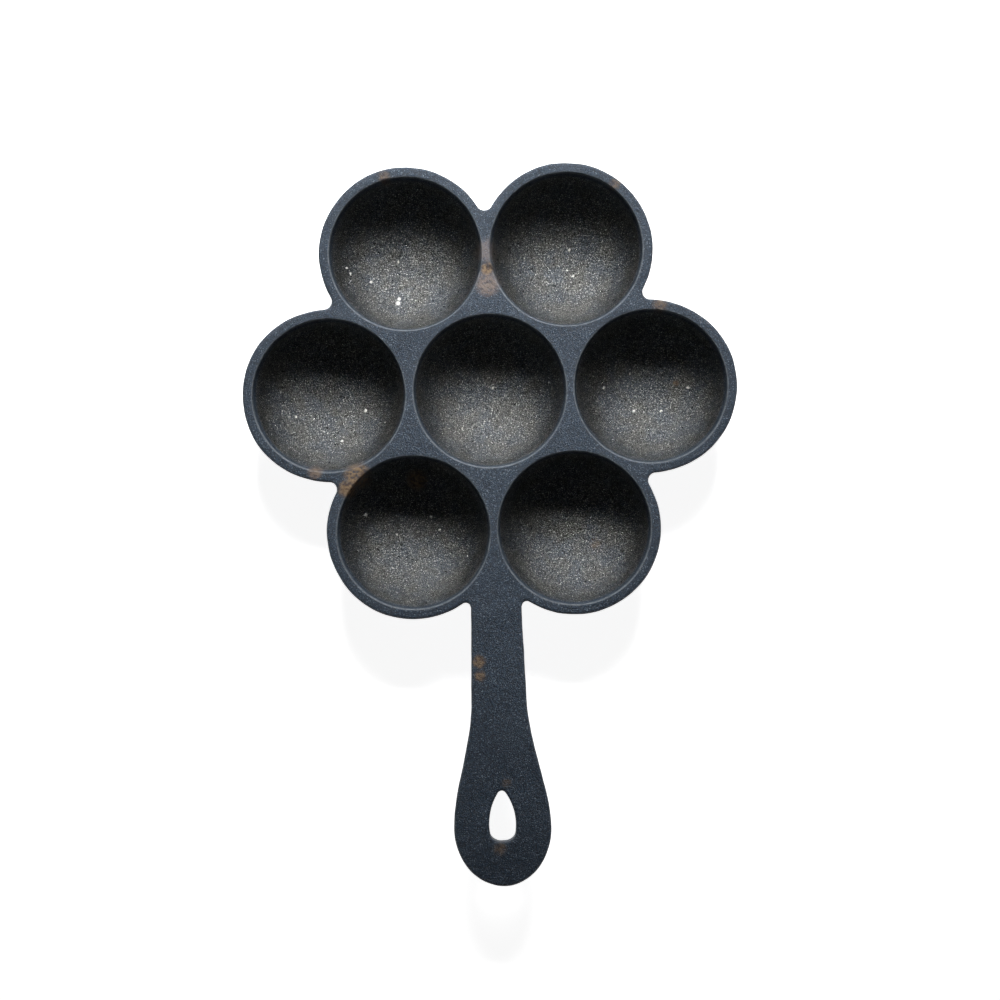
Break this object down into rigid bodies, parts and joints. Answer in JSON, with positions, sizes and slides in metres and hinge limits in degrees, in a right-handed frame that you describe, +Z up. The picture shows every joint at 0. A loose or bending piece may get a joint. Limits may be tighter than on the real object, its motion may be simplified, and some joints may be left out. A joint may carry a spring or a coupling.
{
  "type": "aebleskiver pan",
  "caption": "Cast iron pan with round wells in a scalloped deck and a flat flared handle, for baking ball shaped pancakes on a stove.",
  "frame": {"origin": "on the surface that the pan stands on, under the middle of the centre well", "axes": "+Z up, the handle points along -Y, +X to the right as the cook holds the handle"},
  "size_m": [0.1956, 0.2849, 0.0301],
  "materials": {
    "seasoned_iron": "seasoned, fine sand cast grain"
  },
  "bodies": {
    "root": {"well_centre": "seasoned_iron", "well_right": "seasoned_iron", "well_far_right": "seasoned_iron", "well_far_left": "seasoned_iron", "well_left": "seasoned_iron", "well_near_left": "seasoned_iron", "well_near_right": "seasoned_iron", "handle_shank": "seasoned_iron", "handle_grip": "seasoned_iron"}
  },
  "joints": []
}
